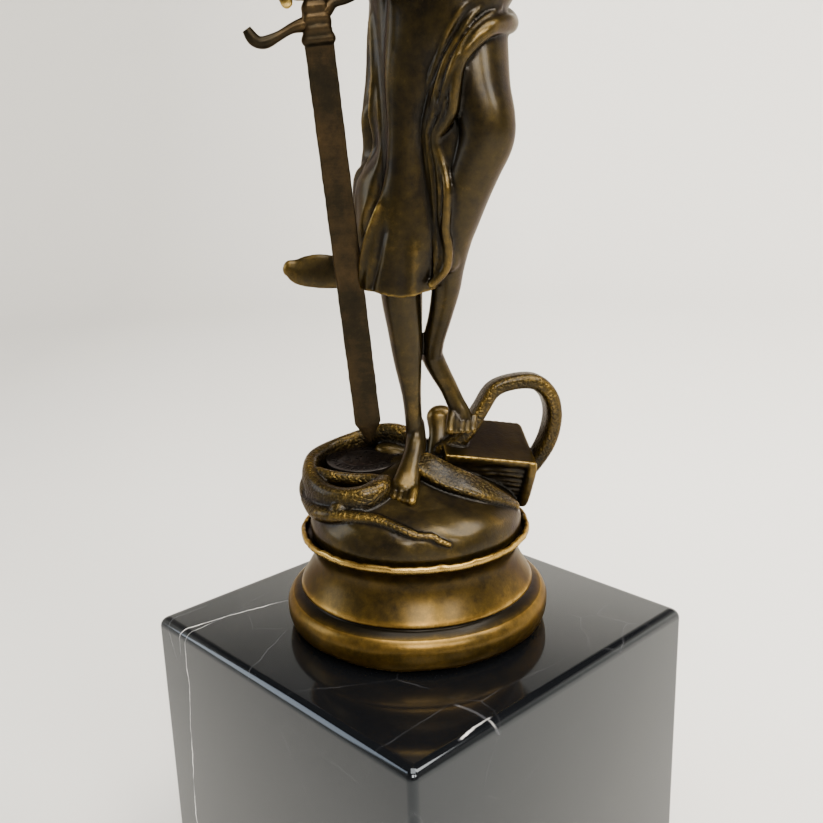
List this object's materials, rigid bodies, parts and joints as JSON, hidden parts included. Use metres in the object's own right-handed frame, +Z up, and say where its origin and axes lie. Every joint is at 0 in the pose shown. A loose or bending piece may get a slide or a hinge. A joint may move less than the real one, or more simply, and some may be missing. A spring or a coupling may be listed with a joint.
{
  "type": "lady justice statue",
  "caption": "Small cast bronze Lady Justice with sword and scales, on a turned bronze foot and a black marble plinth; stands on a shelf or desk.",
  "frame": {"origin": "centre of the plinth's underside", "axes": "+Z up; the figure faces -Y and her left is +X; the square plinth is turned 45 degrees, so one corner points to -Y"},
  "size_m": [0.1294, 0.1258, 0.361],
  "materials": {
    "marble": "polished black marble with thin white veins",
    "bronze": "cast bronze, olive brown patina rubbed to gold on edges",
    "dark_bronze": "cast bronze, dark brown patina"
  },
  "bodies": {
    "root": {"marble_plinth": "marble", "bronze_foot": "bronze", "justice_figure": "bronze", "sword": "bronze", "seal": "dark_bronze", "scales_beam": "bronze", "scale_pan_inner": "bronze", "scale_pan_outer": "bronze"}
  },
  "joints": []
}
